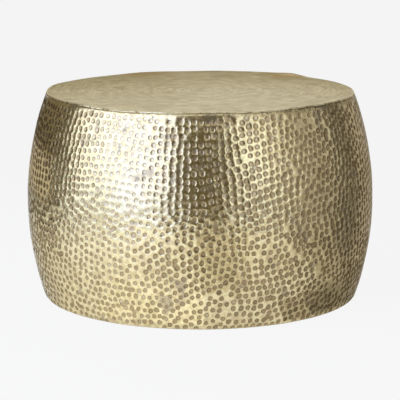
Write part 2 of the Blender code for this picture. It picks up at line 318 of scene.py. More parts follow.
@dataclass(frozen=True)
class HammeredBrass(Finish):
    """Glossy brass lands with a grey-brown patina in the hammer marks."""

    name: str = "hammered_brass"
    land_warm: Colour = (0.53, 0.434, 0.210)
    land_pale: Colour = (0.80, 0.692, 0.405)
    tarnish: Colour = (0.44, 0.31, 0.18)
    patina_dark: Colour = (0.052, 0.032, 0.013)
    patina_brown: Colour = (0.288, 0.208, 0.105)
    patina_light: Colour = (0.530, 0.464, 0.325)
    smudge: Colour = (0.250, 0.200, 0.130)
    cloud_scale: float = 9.0
    mottle_scale: float = 130.0
    grain_scale: float = 520.0
    smudges: Blotches = Blotches(27.0, 3.0, 0.55, 0.60, 0.68)
    smudge_share: float = 0.72
    stains: Blotches = Blotches(62.0, 4.0, 0.60, 0.50, 0.70)
    stain_share: float = 0.6
    seam_pieces: Blotches = Blotches(75.0, 3.0, 0.60, 0.48, 0.56)
    land_roughness: float = 0.19
    patina_roughness: float = 0.30
    patina_metal: float = 0.93
    edge_tint: Colour = (0.62, 0.54, 0.42)
    lacquer: float = 0.5
    lacquer_roughness: float = 0.14
    worn_side: tuple[float, float] = (-0.07, 0.07)
    speck_heights: tuple[float, float] = (0.3755, 0.3850)
    seam_heights: tuple[float, float] = (0.3852, 0.3864)

    def surface(self, bench: NodeBench) -> Wire:
        """Patina by the mesh's own mark and tone values, which also carry painted shade and painted
        highlight, with smudges that spill over the lands.

        Args:
            bench: The material's node tree.

        Returns:
            The shader's output.
        """
        place = bench.place()
        tone = bench.attribute("tone")
        cloud = bench.noise(place, self.cloud_scale)
        mottle = bench.noise(place, self.mottle_scale, 4.0, 0.62)
        grain = bench.noise(place, self.grain_scale)
        smudge = self.smudges.on(bench) * self.smudge_share
        rim = self._rim_wear(bench, 0.45 * mottle + 0.55 * grain)
        patina = (bench.attribute("mark") * (0.82 + 0.18 * grain)) | rim
        pale = 0.30 * bench.span(cloud, 0.35, 0.65) + 0.70 * bench.span(mottle, 0.36, 0.62)
        stain = self.stains.on(bench) * self.stain_share
        land = bench.mix(stain, bench.mix(pale, self.land_warm, self.land_pale), self.tarnish)
        dark = bench.mix(bench.span(tone, 0.0, 0.5), self.patina_dark, self.patina_brown)
        dark = bench.mix(bench.span(tone, 0.5, 1.0), dark, self.patina_light)
        smudged = smudge * bench.span(mottle, 0.34, 0.56)
        values = {
            "Base Color": bench.mix(smudged, bench.mix(patina, land, dark), self.smudge),
            "Roughness": self.land_roughness
            + (self.patina_roughness - self.land_roughness) * (patina | smudge)
            + 0.16 * (mottle - 0.5),
            "Metallic": 1.0 - (1.0 - self.patina_metal) * patina,
            "Specular Tint": opaque(self.edge_tint),
            "Coat Weight": self.lacquer * (1.0 - 0.95 * patina),
            "Coat Roughness": self.lacquer_roughness,
            "Normal": bench.bump(grain, 0.0003, 0.22),
        }
        return bench.principled(values)

    def _rim_wear(self, bench: NodeBench, speckle: Wire) -> Wire:
        """Speckled dark wear under the rim, with a broken seam at its top, stronger on one side.

        Args:
            bench: The material's node tree.
            speckle: Fine noise that breaks up the wear.

        Returns:
            How worn the rim is, from 0 to 1.
        """
        height = bench.along("Z")
        specks = bench.span(height, *self.speck_heights) * bench.span(speckle, 0.45, 0.55)
        seam = bench.span(height, *self.seam_heights) * self.seam_pieces.on(bench)
        return (specks | seam) * bench.span(bench.along("X"), *self.worn_side, 0.15, 0.85)


@dataclass(frozen=True)
class SatinBrass(Finish):
    """Spun satin brass, with wavy broken rings, arcs along the edge and a few flaws."""

    name: str = "satin_brass"
    pale: Colour = (0.72, 0.645, 0.425)
    deep: Colour = (0.37, 0.30, 0.145)
    warm: Colour = (0.55, 0.38, 0.17)
    wear: Colour = (0.20, 0.145, 0.070)
    edge_tint: Colour = (1.0, 0.97, 0.88)
    roughness: float = 0.36
    top_height: float = 0.390
    ring_wobble: float = 0.028
    clouds: Blotches = Blotches(7.0, 3.0, 0.5, 0.3, 0.7)
    cloud_share: float = 0.25
    heat_share: float = 0.62
    arc_share: float = 0.6
    wear_blotches: Blotches = Blotches(95.0, 4.0, 0.65, 0.54, 0.62)
    wear_share: float = 0.85
    heat_marks: tuple[Spot, ...] = ((-0.115, 0.235), (0.172, 0.205))
    heat_radius: float = 0.075
    flaws: tuple[Spot, ...] = ((0.153, 0.012), (0.189, 0.010), (-0.035, -0.030))
    flaw_radius: float = 0.0028
    edge_radii: tuple[float, float] = (0.2896, 0.2912)
    arc_inner: tuple[float, float] = (0.15, 0.24)
    arc_outer: tuple[float, float] = (0.284, 0.276)

    def surface(self, bench: NodeBench) -> Wire:
        """Streaked colour and roughness.

        Args:
            bench: The material's node tree.

        Returns:
            The shader's output.
        """
        wobble = bench.noise(bench.place(), 17.0, 4.0, 0.6) - 0.5
        radius = bench.reach() + self.ring_wobble * wobble
        wide = bench.noise(self._rings(bench, {"Z": radius * 78.0}, 22.0), 1.0, 5.0, 0.75)
        fine = bench.noise(self._rings(bench, {"Z": radius * 150.0}, 42.0), 1.0, 4.0, 0.7)
        arcs = self._arcs(bench)
        streak = 0.42 * bench.span(wide, 0.38, 0.62) + 0.58 * bench.span(fine, 0.36, 0.64)
        body = bench.mix(streak, self.deep, self.pale)
        body = bench.mix(self.clouds.on(bench) * self.cloud_share, body, self.pale)
        heat = self._spots(bench, self.heat_marks, self.heat_radius) * self.heat_share
        body = bench.mix(heat, body, self.warm)
        body = bench.mix(self._spots(bench, self.flaws, self.flaw_radius), body, self.wear)
        body = bench.mix(arcs * self.arc_share, body, self.deep)
        values = {
            "Base Color": bench.mix(self._edge_wear(bench), body, self.wear),
            "Roughness": self.roughness + 0.14 * (wide - 0.5) + 0.10 * (fine - 0.5),
            "Metallic": 1.0,
            "Specular Tint": opaque(self.edge_tint),
            "Normal": bench.bump(wide + fine + arcs, 0.0006, 0.20),
        }
        return bench.principled(values)

    @staticmethod
    def _rings(bench: NodeBench, ring: Mapping[str, Wire], rate: float) -> Wire:
        """Coordinates that change slowly round the table and fast towards its edge.

        Args:
            bench: The material's node tree.
            ring: The coordinate that grows towards the edge, by its axis.
            rate: Rate of change round the table.

        Returns:
            The coordinates.
        """
        outwards = bench.add("ShaderNodeCombineXYZ", None, ring)
        return bench.vector("MULTIPLY_ADD", bench.place(), (rate, rate, 0.0), outwards)

    def _spots(self, bench: NodeBench, spots: tuple[Spot, ...], size: float) -> Wire:
        """Soft spots at given places on the top.

        Args:
            bench: The material's node tree.
            spots: Middles of the spots.
            size: Radius of a spot.

        Returns:
            How much of a spot shows, from 0 to 1.
        """
        place = bench.place()
        ragged = 1.6 * size * (bench.noise(place, 1.6 / size, 4.0, 0.65) - 0.5)
        shown = None
        for spot in spots:
            distance = bench.vector("DISTANCE", place, (*spot, self.top_height), output="Value")
            near = bench.span(distance + ragged, size, 0.2 * size)
            shown = near if shown is None else shown | near
        return shown

    def _edge_wear(self, bench: NodeBench) -> Wire:
        """Dark wear in blotches along the very edge."""
        blotch = self.wear_blotches.on(bench) * self.wear_share
        return (blotch * bench.span(bench.reach(), *self.edge_radii)) | bench.attribute("mark")

    def _arcs(self, bench: NodeBench) -> Wire:
        """Broken scratches that follow the edge.

        Args:
            bench: The material's node tree.

        Returns:
            How deep a scratch is, from 0 to 1.
        """
        radius = bench.reach()
        line = bench.noise(self._rings(bench, {"X": radius * 70.0}, 7.0), 1.0, 3.0, 0.6)
        shown = bench.span(radius, *self.arc_inner) * bench.span(radius, *self.arc_outer)
        return bench.span(line, 0.60, 0.68) * shown


@dataclass(frozen=True)
class RawFibreboard(Finish):
    """Raw fibreboard, brown and speckled with short fibres."""

    name: str = "raw_fibreboard"
    fibre_light: Colour = (0.42, 0.29, 0.17)
    fibre_dark: Colour = (0.27, 0.175, 0.095)

    def surface(self, bench: NodeBench) -> Wire:
        """Speckled fibres over slow clouds.

        Args:
            bench: The material's node tree.

        Returns:
            The shader's output.
        """
        place = bench.place()
        fibre = bench.noise(bench.vector("MULTIPLY", place, (320.0, 900.0, 600.0)), 1.0, 3.0, 0.65)
        cloud = bench.noise(place, 18.0)
        share = 0.75 * bench.span(fibre, 0.3, 0.7) + 0.25 * cloud
        values = {
            "Base Color": bench.mix(share, self.fibre_dark, self.fibre_light),
            "Roughness": 0.72 + 0.2 * fibre,
            "Normal": bench.bump(fibre, 0.0004, 0.3),
        }
        return bench.principled(values)


@dataclass(frozen=True)
class ZincPlate(Finish):
    """Zinc-plated steel with a faint spangle."""

    name: str = "zinc_plate"
    bright: Colour = (0.58, 0.59, 0.60)
    dull: Colour = (0.42, 0.43, 0.44)

    def surface(self, bench: NodeBench) -> Wire:
        """Spangle and rolling marks.

        Args:
            bench: The material's node tree.

        Returns:
            The shader's output.
        """
        place = bench.place()
        spangle = bench.add("ShaderNodeTexVoronoi", None, {"Vector": place, "Scale": 160.0}, "Color")
        grey = bench.add("ShaderNodeRGBToBW", None, {0: spangle})
        smear = bench.noise(place, 60.0, 4.0)
        share = 0.5 * grey + 0.5 * smear
        values = {
            "Base Color": bench.mix(share, self.dull, self.bright),
            "Roughness": 0.30 + 0.18 * smear,
            "Metallic": 1.0,
            "Normal": bench.bump(smear, 0.0003, 0.15),
        }
        return bench.principled(values)


@dataclass(frozen=True)
class BlackNylon(Finish):
    """Moulded black nylon with a fine grain and scuffs."""

    name: str = "black_nylon"
    body: Colour = (0.028, 0.027, 0.026)
    scuff: Colour = (0.075, 0.073, 0.07)
    scuffs: Blotches = Blotches(260.0, 4.0, 0.5, 0.5, 0.72)

    def surface(self, bench: NodeBench) -> Wire:
        """Grain and scuffs.

        Args:
            bench: The material's node tree.

        Returns:
            The shader's output.
        """
        grain = bench.noise(bench.place(), 1500.0, 2.0)
        scuff = self.scuffs.on(bench)
        values = {
            "Base Color": bench.mix(scuff, self.body, self.scuff),
            "Roughness": 0.42 + 0.25 * scuff,
            "Normal": bench.bump(grain, 0.0002, 0.3),
        }
        return bench.principled(values)


@dataclass(frozen=True)
class StudioFloor(Finish):
    """Plain pale floor that looks as pale as the background and still takes a faint shadow."""

    name: str = "studio_floor"
    paint: Colour = (0.80, 0.80, 0.80)
    plain_share: float = 0.975
    mirrored_share: float = 0.25

    def surface(self, bench: NodeBench) -> Wire:
        """Matt paint, mixed with its own pale colour where the floor is seen or mirrored.

        Args:
            bench: The material's node tree.

        Returns:
            The shader's output.
        """
        matt = bench.add("ShaderNodeBsdfDiffuse", None, {"Color": opaque(self.paint)})
        glow = bench.add("ShaderNodeEmission", None, {"Color": opaque((PALE,) * 3), "Strength": 1.0})
        camera, mirrored = bench.seen()
        share = camera * self.plain_share | mirrored * self.mirrored_share
        return bench.add("ShaderNodeMixShader", None, {0: share, 1: matt, 2: glow})


@dataclass(frozen=True)
class CardPaint(Finish):
    """Matt paint of a studio card, with the light that it gives back."""

    level: float
    tint: Colour

    def surface(self, bench: NodeBench) -> Wire:
        """Even glow."""
        return bench.add("ShaderNodeEmission", None, {"Color": opaque(self.tint), "Strength": self.level})


@dataclass(frozen=True)
class RimWave:
    """Height of the hand-dressed rim above level, round the table."""

    waves: tuple[tuple[float, int, float], ...] = ((0.0008, 3, 210.0), (0.0006, 7, 86.0), (0.0003, 13, 20.0))
    bump_height: float = 0.0032
    bump_angle: float = 50.0
    bump_spread: float = 6.0

    def lift(self, angle: np.ndarray) -> np.ndarray:
        """Height in metres at angles in radians."""
        height = sum(size * np.cos(count * angle - math.radians(phase)) for size, count, phase in self.waves)
        return height + self.bump_height * bell(degrees_from(self.bump_angle, angle), self.bump_spread)


@dataclass(frozen=True)
class RimNicks:
    """Nicks that the dressing hammer left along the seam under the rim."""

    seed: int = 8
    count: int = 170
    rim_radius: float = 0.292
    width: float = 0.0020
    bold: tuple[float, ...] = (-31.0, -20.0, 17.0, 22.0, 33.5, 41.0, 60.0, 128.0, 171.0, 214.0)
    bold_width: float = 0.0034

    def at(self, angle: np.ndarray) -> np.ndarray:
        """Depth of the nicks at each angle, as a share of the deepest one.

        Args:
            angle: Angles round the table, in radians.

        Returns:
            Shares from 0 to 1.
        """
        draw = np.random.default_rng(self.seed)
        bold = FRONT + np.radians(self.bold)
        places = np.concatenate([draw.uniform(0, TURN, self.count), bold])
        sizes = np.concatenate([0.7 * draw.uniform(0.1, 1.0, self.count) ** 2, np.ones(len(bold))])
        usual = self.width * draw.uniform(0.6, 2.0, self.count)
        widths = np.concatenate([usual, np.full(len(bold), self.bold_width)])
        turn = half_turn(angle[:, None] - places)
        return (sizes * bell(turn * self.rim_radius, widths)).max(axis=1)


@dataclass(frozen=True)
class BarrelProfile:
    """Section of the wall, followed from the upper edge down its outer face and under the foot.

    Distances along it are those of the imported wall, whose foot has a wider bend than the lip seen here.
    """

    belly_radius: float = 0.330
    belly_height: float = 0.182
    upper_arc: float = 0.574167
    lower_arc: float = 0.558266
    wall_top: float = 0.3867
    wave_start: float = 0.3747
    thickness: float = 0.002
    bend_centre: tuple[float, float] = (0.296137, 0.0088)
    bend_radius: float = 0.006
    flange_edge: float = 0.2701
    lip_radius: float = 0.0022
    lip_floor: float = 0.0008
    lip_slope: float = 0.008
    wall_steps: int = 899
    bend_steps: int = 59
    lip_steps: int = 22
    wave: RimWave = RimWave()

    def __post_init__(self) -> None:
        """Lay out the path once, as a fine table of points."""
        bend = math.atan2(
            self.bend_centre[1] - self.belly_height, self.bend_centre[0] - self.belly_radius + self.lower_arc
        )
        bend_top = self.bend_centre[1] + self.bend_radius * math.sin(bend)
        height = np.linspace(self.wall_top, bend_top, self.wall_steps + 1)
        arc = np.where(height > self.belly_height, self.upper_arc, self.lower_arc)
        radius = self.belly_radius - arc + np.sqrt(arc**2 - (height - self.belly_height) ** 2)
        section = np.concatenate([np.stack([radius, height]), self._lip(bend_top)], axis=1)
        turn = np.linspace(bend, -math.pi / 2, self.bend_steps + 1)[1:]
        under = np.linspace(self.bend_centre[0], self.flange_edge, self.bend_steps + 1)[1:]
        level = np.full(self.bend_steps, self.bend_centre[1] - self.bend_radius)
        radius = np.concatenate([radius, self.bend_centre[0] + self.bend_radius * np.cos(turn), under])
        height = np.concatenate([height, self.bend_centre[1] + self.bend_radius * np.sin(turn), level])
        path = np.concatenate([[0.0], np.cumsum(np.hypot(np.diff(radius), np.diff(height)))])
        fall = np.gradient(section, path, axis=1)
        fall_r, fall_z = fall / np.hypot(*fall)
        facts = {
            "table": (path, radius, *section, -fall_z, fall_r),
            "bend_start": float(path[self.wall_steps]),
            "bend_end": float(path[self.wall_steps + self.bend_steps]),
            "path_end": float(path[-1]),
        }
        for name, value in facts.items():
            object.__setattr__(self, name, value)

    def _lip(self, top: float) -> np.ndarray:
        """Lip at the foot: the lower arc carried on, a tight turn, and a slope up to the flange.

        Args:
            top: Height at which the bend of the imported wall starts.

        Returns:
            A row of radii and a row of heights, one for each point after the start of the bend.
        """
        axis = self.belly_radius - self.lower_arc
        centre = self.lip_floor + self.lip_radius
        middle = axis + math.sqrt((self.lower_arc - self.lip_radius) ** 2 - (centre - self.belly_height) ** 2)
        start = math.atan2(centre - self.belly_height, middle - axis)
        lip_top = centre + self.lip_radius * math.sin(start)
        fall = np.linspace(top, lip_top, self.bend_steps - self.lip_steps + 1)[1:]
        side = axis + np.sqrt(self.lower_arc**2 - (fall - self.belly_height) ** 2)
        turn = np.linspace(start, -math.pi / 2, self.lip_steps + 1)[1:]
        under = np.linspace(middle, self.flange_edge, self.bend_steps + 1)[1:]
        level = self.bend_centre[1] - self.bend_radius
        climb = (level - self.lip_floor) * ease((middle - under) / self.lip_slope)
        radius = np.concatenate([side, middle + self.lip_radius * np.cos(turn), under])
        height = np.concatenate([fall, centre + self.lip_radius * np.sin(turn), self.lip_floor + climb])
        return np.stack([radius, height])

    def radius(self, drop: np.ndarray) -> np.ndarray:
        """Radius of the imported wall's outer face at a distance along the path from the upper edge."""
        return np.interp(drop, self.table[0], self.table[1])

    def point(self, angle: np.ndarray, drop: np.ndarray, out: np.ndarray | float = 0.0) -> np.ndarray:
        """Points in the table's frame.

        Args:
            angle: Angles round the table, in radians.
            drop: Distances along the path from the upper edge.
            out: How far each point stands out from the outer face.

        Returns:
            One row of x, y and z for each point.
        """
        path, _, radii, heights, out_r, out_z = self.table
        radius = np.interp(drop, path, radii) + out * np.interp(drop, path, out_r)
        height = np.interp(drop, path, heights) + out * np.interp(drop, path, out_z)
        rise = ease((height - self.wave_start) / (self.wall_top - self.wave_start))
        height = height + self.wave.lift(angle) * rise
        return np.stack([radius * np.cos(angle), radius * np.sin(angle), height], axis=-1)


@dataclass(frozen=True)
class HandField:
    """Slow unevenness of hand work over the unrolled wall, from a few seeded waves."""

    seed: int
    counts: tuple[int, int]
    lengths: tuple[float, float]
    size: float
    modes: int = 14

    def at(self, angle: np.ndarray, drop: np.ndarray) -> np.ndarray:
        """Value of the field.

        Args:
            angle: Angles round the table, in radians.
            drop: Distances down the wall.

        Returns:
            Values with a spread of about the field's size.
        """
        draw = np.random.default_rng(self.seed)
        total = np.zeros(np.broadcast(angle, drop).shape)
        for _ in range(self.modes):
            count = draw.integers(self.counts[0], self.counts[1] + 1)
            pace = TURN / draw.uniform(*self.lengths) * draw.choice((-1.0, 1.0))
            total = total + np.cos(count * angle + pace * drop + draw.uniform(0, TURN))
        return self.size * total * math.sqrt(2.0 / self.modes)


class Stagger(Enum):
    """How each row of marks is shifted against the one above it, in pitches."""

    SQUARE = 0.0
    DRIFT = 0.22
    BRICK = 0.5


@dataclass(frozen=True)
class Swathe:
    """A patch of wall hammered in one go, in rows that swing round a far hub."""

    angle: float
    drop: float
    tilt: float
    hub_distance: float
    stagger: Stagger

    def rows(self, pitch: float, scale: float, reach: float) -> np.ndarray:
        """Lay rows of marks over the patch and well past its border.

        Args:
            pitch: Distance between marks.
            scale: Radius that turns an angle into a distance round the wall.
            reach: How far the rows run from the middle of the patch.

        Returns:
            Angle and drop of each mark.
        """
        side = math.copysign(1.0, self.hub_distance)
        distance = abs(self.hub_distance)
        count = int(reach / pitch) + 1
        row, column = np.meshgrid(np.arange(-count, count + 1), np.arange(-count, count + 1), indexing="ij")
        shift = (row * self.stagger.value) % 1.0
        bearing = (column + shift) * pitch / distance
        along = (distance + row * pitch) * np.sin(bearing)
        down = side * ((distance + row * pitch) * np.cos(bearing) - distance)
        cos, sin = math.cos(self.tilt), math.sin(self.tilt)
        angle = self.angle + (along * cos - down * sin) / scale
        return np.stack([angle.ravel(), (self.drop + along * sin + down * cos).ravel()], axis=-1)


PATCHES: tuple[tuple[float, float, float, float, Stagger], ...] = (
    (-74.0, 0.26, 6.0, 0.50, Stagger.SQUARE),
    (-43.0, 0.20, -5.0, -0.80, Stagger.DRIFT),
    (-13.0, 0.24, 2.0, 1.10, Stagger.SQUARE),
    (19.0, 0.36, -15.0, -0.90, Stagger.DRIFT),
    (48.0, 0.26, -18.0, 0.60, Stagger.BRICK),
    (78.0, 0.34, -8.0, -0.50, Stagger.DRIFT),
    (-66.0, 0.70, 8.0, 0.34, Stagger.BRICK),
    (-36.0, 0.64, 20.0, 0.45, Stagger.DRIFT),
    (-30.0, 0.92, 4.0, 0.70, Stagger.BRICK),
    (-7.0, 0.74, -32.0, -0.35, Stagger.BRICK),
    (24.0, 0.84, -6.0, 0.50, Stagger.DRIFT),
    (52.0, 0.72, -16.0, -0.60, Stagger.SQUARE),
    (82.0, 0.80, -6.0, 0.40, Stagger.BRICK),
)


@dataclass(frozen=True)
class MarkMap:
    """Middles of hammer marks on the unrolled wall."""

    profile: BarrelProfile
    places: np.ndarray

    def tree(self) -> KDTree:
        """Prepare to search the marks.

        Returns:
            Search tree of their middles on the wall.
        """
        middles = self.profile.point(self.places[:, 0], self.places[:, 1])
        tree = KDTree(len(middles))
        for index, middle in enumerate(middles):
            tree.insert(middle, index)
        tree.balance()
        return tree

    def nearest(self, places: np.ndarray, count: int) -> tuple[np.ndarray, np.ndarray, np.ndarray]:
        """Marks nearest to each place.

        Args:
            places: Angle and drop of each place.
            count: How many marks to find.

        Returns:
            Their numbers, and how far round and down the wall they lie from each place.
        """
        tree = self.tree()
        spots = self.profile.point(places[:, 0], places[:, 1])
        found = np.array([[hit[1] for hit in tree.find_n(spot, count)] for spot in spots])
        turn = half_turn(self.places[found, 0] - places[:, None, 0])
        around = turn * self.profile.radius(places[:, 1])[:, None]
        return found, around, self.places[found, 1] - places[:, None, 1]


@dataclass(frozen=True)
class Marks(MarkMap):
    """Hammer marks with their sizes and looks.

    Each one is an uneven oval dish with a flat bottom. Patina fills the bottom; its reach further up the wall
    on one side is painted shade, the dark ring near the edge is partly patina and partly painted shade, and
    the lighter middle is a painted highlight.
    """

    radii: np.ndarray
    depths: np.ndarray
    tones: np.ndarray
    middles: np.ndarray
    leans: np.ndarray
    stretches: np.ndarray
    bottom: float = 0.46
    shoulder: float = 1.10
    patina_edge: float = 0.88
    # Painted shade: how much further the patina reaches up the wall on one side of each mark
    patina_shade_shift: float = 0.12
    patina_blur: float = 0.16
    # Dark ring near each mark's edge: partly patina, partly painted shade
    ring_width: float = 0.10
    ring_shade: float = 0.40
    lobes: float = 0.04
    # Side of each mark whose wall is darkened: painted shade
    shaded_side: float = math.radians(225.0)

    def border(self, mark: np.ndarray, bearing: np.ndarray) -> np.ndarray:
        """Distance from a mark's middle to its border.

        Args:
            mark: Numbers of the marks.
            bearing: Directions from their middles, in radians.

        Returns:
            Distances in metres.
        """
        turn = bearing - self.leans[mark]
        oval = 1.0 / np.hypot(np.cos(turn) / self.stretches[mark], np.sin(turn) * self.stretches[mark])
        return self.radii[mark] * oval * (1.0 + self.lobes * np.cos(3.0 * turn + 9.0 * self.leans[mark]))

    def relief(self, places: np.ndarray) -> tuple[np.ndarray, np.ndarray, np.ndarray]:
        """Read the hammered relief.

        Args:
            places: Angle and drop of each place.

        Returns:
            How far the wall stands out there, how much of it is inside a mark, and the mark's tone.
        """
        found, around, down = self.nearest(places, 4)
        bearing = np.arctan2(-down, -around)
        share = np.hypot(around, down) / self.border(found, bearing)
        # Painted shade: the wall on one side of each mark gets more patina and a darker ring
        side = np.cos(bearing - self.shaded_side)
        wall = ease((share - self.bottom) / (self.shoulder - self.bottom))
        height = ((wall - 1.0) * self.depths[found]).min(axis=1)
        edge = self.patina_edge + self.patina_shade_shift * side
        inside = np.clip((edge - share) / self.patina_blur + 0.5, 0.0, 1.0).max(axis=1)
        first = (np.arange(len(places)), np.argmin(share, axis=1))
        # Dark ring near the edge, partly patina and partly painted shade, and a lighter middle, which is a
        # painted highlight
        ring = np.clip(share / (edge - self.ring_width), 0.0, 1.0)[first] ** 4 * (0.80 + 0.20 * side[first])
        middle = self.middles[found[first]]
        tone = self.tones[found[first]] + middle - (middle + self.ring_shade) * ring
        return height, inside, tone


@dataclass
class HammerWork:
    """How the wall was hammered: swathes of rows, evened out by eye and never quite regular.

    Gaps between marks are in pitches, and sides, turns and spreads round the table in degrees. A pair of
    numbers holds two limits, or a mean and the scatter about it.
    """

    profile: BarrelProfile
    seed: int = 11
    pitch: float = 0.0129
    first_row: float = 0.0098
    last_row: float = 0.0045
    swathe_reach: float = 0.30
    crowded: float = 0.78
    hole: float = 0.88
    late_hole: float = 0.82
    tries: int = 30000
    wanted_gap: float = 1.06
    push_limit: float = 0.6
    push_share: float = 0.2
    step_limit: float = 0.12
    jitter: float = 0.14
    double_share: float = 0.02
    double_step: tuple[float, float] = (0.50, 0.70)
    border_wave: tuple[float, float, float] = (0.012, 23.0, 2.1)
    first_wander: HandField = HandField(3, (3, 17), (1.0, 2.0), 0.0013)
    slow: HandField = HandField(5, (2, 9), (0.15, 0.6), 0.05)
    mark_radius: float = 0.0056
    usual_size: float = 1.02
    light_shrink: float = 0.17
    flank_growth: float = 0.05
    size_scatter: float = 0.06
    size_limits: tuple[float, float] = (0.82, 1.25)
    mark_depth: float = 0.00085
    depth_scatter: float = 0.14
    depth_limits: tuple[float, float] = (0.6, 1.4)
    lean: tuple[float, float] = (1.7, 0.35)
    stretch: tuple[float, float] = (0.06, 0.05)
    flank_stretch: float = 0.07
    # Lighter middle of each mark: painted highlight
    middle: tuple[float, float] = (0.17, 0.07)
    middle_limit: float = 0.4
    light_spread: float = 34.0
    # Painted highlight: the patina is made lighter round the side where the key lamp is mirrored
    highlight_side: float = 243.0
    highlight_spread: float = 18.0
    highlight_left: float = 1.5
    highlight_tone: float = 0.66
    highlight_loss: float = 0.50
    # Painted light: the patina is made lighter low on the left flank, where the lamps light the wall
    lit_flank_turn: float = 31.0
    lit_flank_spread: float = 26.0
    lit_flank_tone: float = 0.30
    even_side: float = 288.0
    even_tone: float = 0.53
    low_start: float = 0.14
    low_reach: float = 0.12
    low_loss: float = 0.16
    tone_scatter: float = 0.06

    def strike(self) -> Marks:
        """Set out all the marks, and give each its size and tone.

        Returns:
            The marks, in an order that doesn't matter.
        """
        draw = np.random.default_rng(self.seed)
        places = self._layout(draw)
        angle, drop = places[:, 0], places[:, 1]
        count = len(places)
        turn = degrees_from(self.highlight_side, angle)
        reach = np.where(turn < 0.0, self.highlight_left, 1.0) * self.highlight_spread
        low = ease((drop - self.low_start) / self.low_reach)
        # Painted highlight: lighter patina round the side where the key lamp is mirrored, less of it low down
        highlight = bell(turn, reach) * (1.0 - self.highlight_loss * low)
        # Painted light: lighter patina low on the left flank, where the lamps light it
        lit_flank = bell(turn + self.lit_flank_turn, self.lit_flank_spread) * low
        even = np.cos(angle - math.radians(self.even_side)) ** 2
        flank = np.cos(angle) ** 2
        size = self.usual_size + self.slow.at(angle, drop)
        size = size - self.light_shrink * bell(turn, self.light_spread) + self.flank_growth * flank
        size = np.clip(size + draw.normal(0.0, self.size_scatter, count), *self.size_limits)
        depth = np.clip(size * (1.0 + draw.normal(0.0, self.depth_scatter, count)), *self.depth_limits)
        tone = (self.even_tone - self.low_loss * low) * even
        tone = tone + self.highlight_tone * highlight + self.lit_flank_tone * lit_flank
        tone = np.clip(tone + draw.normal(0.0, self.tone_scatter, count), 0.0, 1.0)
        lean = draw.normal(*self.lean, count)
        stretch = 1.0 + np.abs(draw.normal(*self.stretch, count)) + self.flank_stretch * flank
        # Painted highlight: a lighter middle in each mark
        middle = np.clip(draw.normal(*self.middle, count), 0.0, self.middle_limit) * (0.3 + 0.7 * even)
        radii, depths = self.mark_radius * size, self.mark_depth * depth
        return Marks(self.profile, places, radii, depths, tone, middle, lean, stretch)

    def _layout(self, draw: np.random.Generator) -> np.ndarray:
        """Set out the middles of all the marks.

        Args:
            draw: Seeded random numbers.

        Returns:
            Angle and drop of each mark.
        """
        flat = [self.profile.belly_radius, 1.0]
        places = self._thin(self._rows())
        for rounds in (5, 3):
            places = self._relax(self._fill(places, draw, self.hole), rounds)
            places = self._thin(places)
        places = self._fill(places, draw, self.late_hole)
        places = places + draw.normal(0.0, self.jitter * self.pitch, places.shape) / flat
        places = self._thin(self._relax(places, 2))
        twice = draw.random(len(places)) < self.double_share
        bearing = draw.uniform(0, TURN, twice.sum())
        step = draw.uniform(*self.double_step, twice.sum()) * self.pitch
        second = places[twice] + np.stack([step * np.cos(bearing), step * np.sin(bearing)], axis=-1) / flat
        places = np.concatenate([places, second])
        places[:, 0] %= TURN
        return places

    def _limits(self, angle: np.ndarray) -> tuple[np.ndarray, float]:
        """Drop of the first row under the rim at each angle, and the last drop under the foot."""
        wander = self.first_wander.at(angle, 0.0 * angle)
        return self.first_row + wander, self.profile.bend_start + self.last_row

    def _swathes(self) -> list[Swathe]:
        """Set out the patches round the wall.

        Returns:
            One set for the front, and the same set turned about for the back.
        """
        swathes = []
        for half in (0, 1):
            for bearing, share, tilt, hub, stagger in PATCHES:
                angle = FRONT + half * math.pi + math.radians(bearing)
                lean = math.radians(tilt) * (1 - 2 * half)
                swathes.append(Swathe(angle, share * self.profile.bend_start, lean, hub, stagger))
        return swathes

    def _rows(self) -> np.ndarray:
        """Rows of every swathe, each kept to its own patch.

        Returns:
            Angle and drop of each mark.
        """
        swathes = self._swathes()
        scale = self.profile.belly_radius
        middles = np.array([(swathe.angle, swathe.drop) for swathe in swathes])
        size, waves, shift = self.border_wave
        kept = []
        for number, swathe in enumerate(swathes):
            places = swathe.rows(self.pitch, scale, self.swathe_reach)
            turn = half_turn(places[:, None, 0] - middles[None, :, 0])
            away = np.hypot(turn * scale, places[:, None, 1] - middles[None, :, 1])
            away = away + size * np.sin(places[:, None, 0] * waves + np.arange(len(swathes)) * shift)
            first, last = self._limits(places[:, 0])
            inside = (places[:, 1] > first) & (places[:, 1] < last)
            kept.append(places[(np.argmin(away, axis=1) == number) & inside])
        return np.concatenate(kept) % [TURN, np.inf]

    def _thin(self, places: np.ndarray) -> np.ndarray:
        """Take out marks that crowd an earlier one.

        Args:
            places: Angle and drop of each mark.

        Returns:
            The places that are left.
        """
        found, around, down = MarkMap(self.profile, places).nearest(places, 6)
        close = np.hypot(around, down) < self.crowded * self.pitch
        later = found < np.arange(len(places))[:, None]
        return places[~(close & later).any(axis=1)]

    def _fill(self, places: np.ndarray, draw: np.random.Generator, room: float) -> np.ndarray:
        """Add marks in holes.

        Args:
            places: Angle and drop of each mark.
            draw: Seeded random numbers.
            room: Free distance that makes a hole, in pitches.

        Returns:
            The places with the holes filled.
        """
        for _ in range(3):
            first, last = self._limits(np.zeros(1))
            tries = draw.uniform((0.0, first[0]), (TURN, last), (self.tries, 2))
            _, around, down = MarkMap(self.profile, places).nearest(tries, 1)
            holes = tries[np.hypot(around, down)[:, 0] > room * self.pitch]
            if len(holes) == 0:
                break
            places = np.concatenate([places, self._thin(holes)])
        return places

